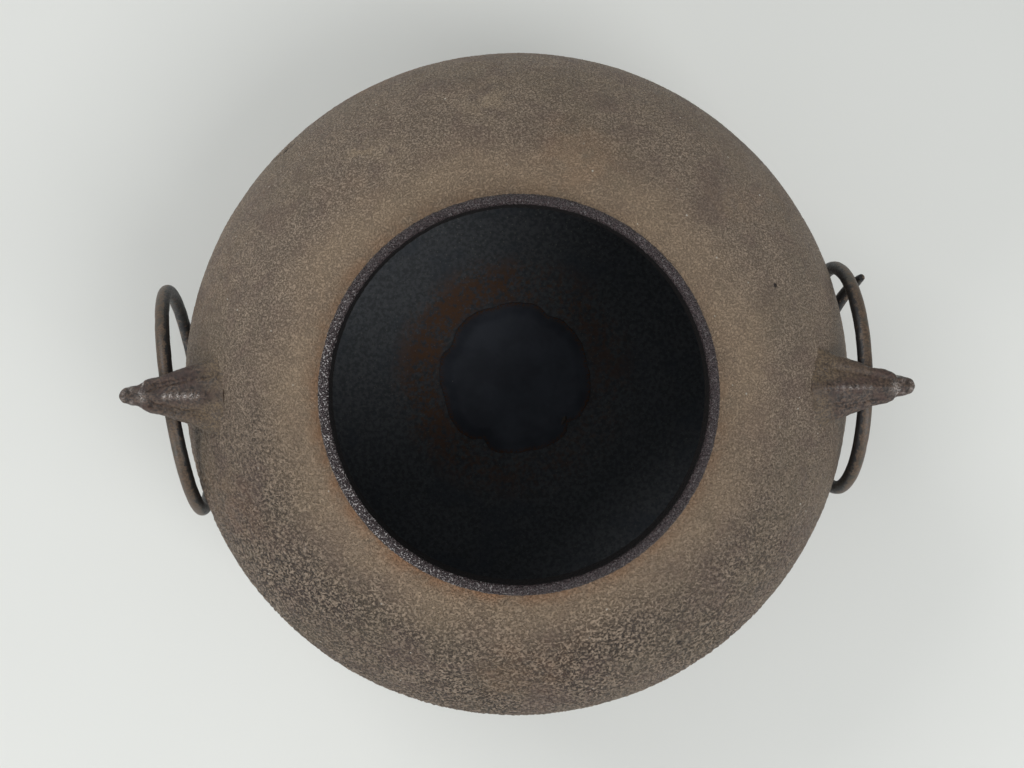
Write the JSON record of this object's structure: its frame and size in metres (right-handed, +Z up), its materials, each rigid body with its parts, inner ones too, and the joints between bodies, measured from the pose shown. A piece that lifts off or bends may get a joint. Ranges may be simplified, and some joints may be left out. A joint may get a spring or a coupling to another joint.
{
  "type": "cast iron tea kettle",
  "caption": "Round open-mouthed cast iron kettle for tea, with a low upright rim, tapering side lugs and open forged lifting rings that swing in the lug eyes.",
  "frame": {"origin": "centre of the flat base, on the surface the kettle stands on", "axes": "+Z up through the mouth; the two lugs lie along X, the left one at -X; +Y is the far side as the front is looked at"},
  "size_m": [0.2616, 0.234, 0.16],
  "materials": {
    "body_iron": "patinated brown, sand-cast grain",
    "lug_iron": "dark purple-brown, smoother, worn on the ridge",
    "ring_iron": "forged, brown with blackened patches",
    "lacquer": "smooth blue-black lacquer, dulled",
    "plate_iron": "dull"
  },
  "bodies": {
    "kettle": {"kettle_body": "body_iron", "left_lug": "lug_iron", "right_lug": "lug_iron", "lacquer_bed": "lacquer", "sounding_plate_1": "plate_iron", "sounding_plate_2": "plate_iron", "sounding_plate_3": "plate_iron", "sounding_plate_4": "plate_iron", "sounding_plate_5": "plate_iron", "sounding_plate_6": "plate_iron", "sounding_plate_7": "plate_iron", "sounding_plate_8": "plate_iron"},
    "left_ring_body": {"left_ring": "ring_iron"},
    "right_ring_body": {"right_ring": "ring_iron"}
  },
  "joints": [
    {"name": "left_ring_swing", "type": "hinge", "parent": "kettle", "child": "left_ring_body", "pos_m": [-0.1148, 0, 0.122], "axis": [-0.1392, 0.9903, 0], "range_deg": [0, 220]},
    {"name": "right_ring_swing", "type": "hinge", "parent": "kettle", "child": "right_ring_body", "pos_m": [0.1148, 0, 0.122], "axis": [0, -1, 0], "range_deg": [0, 222]}
  ]
}
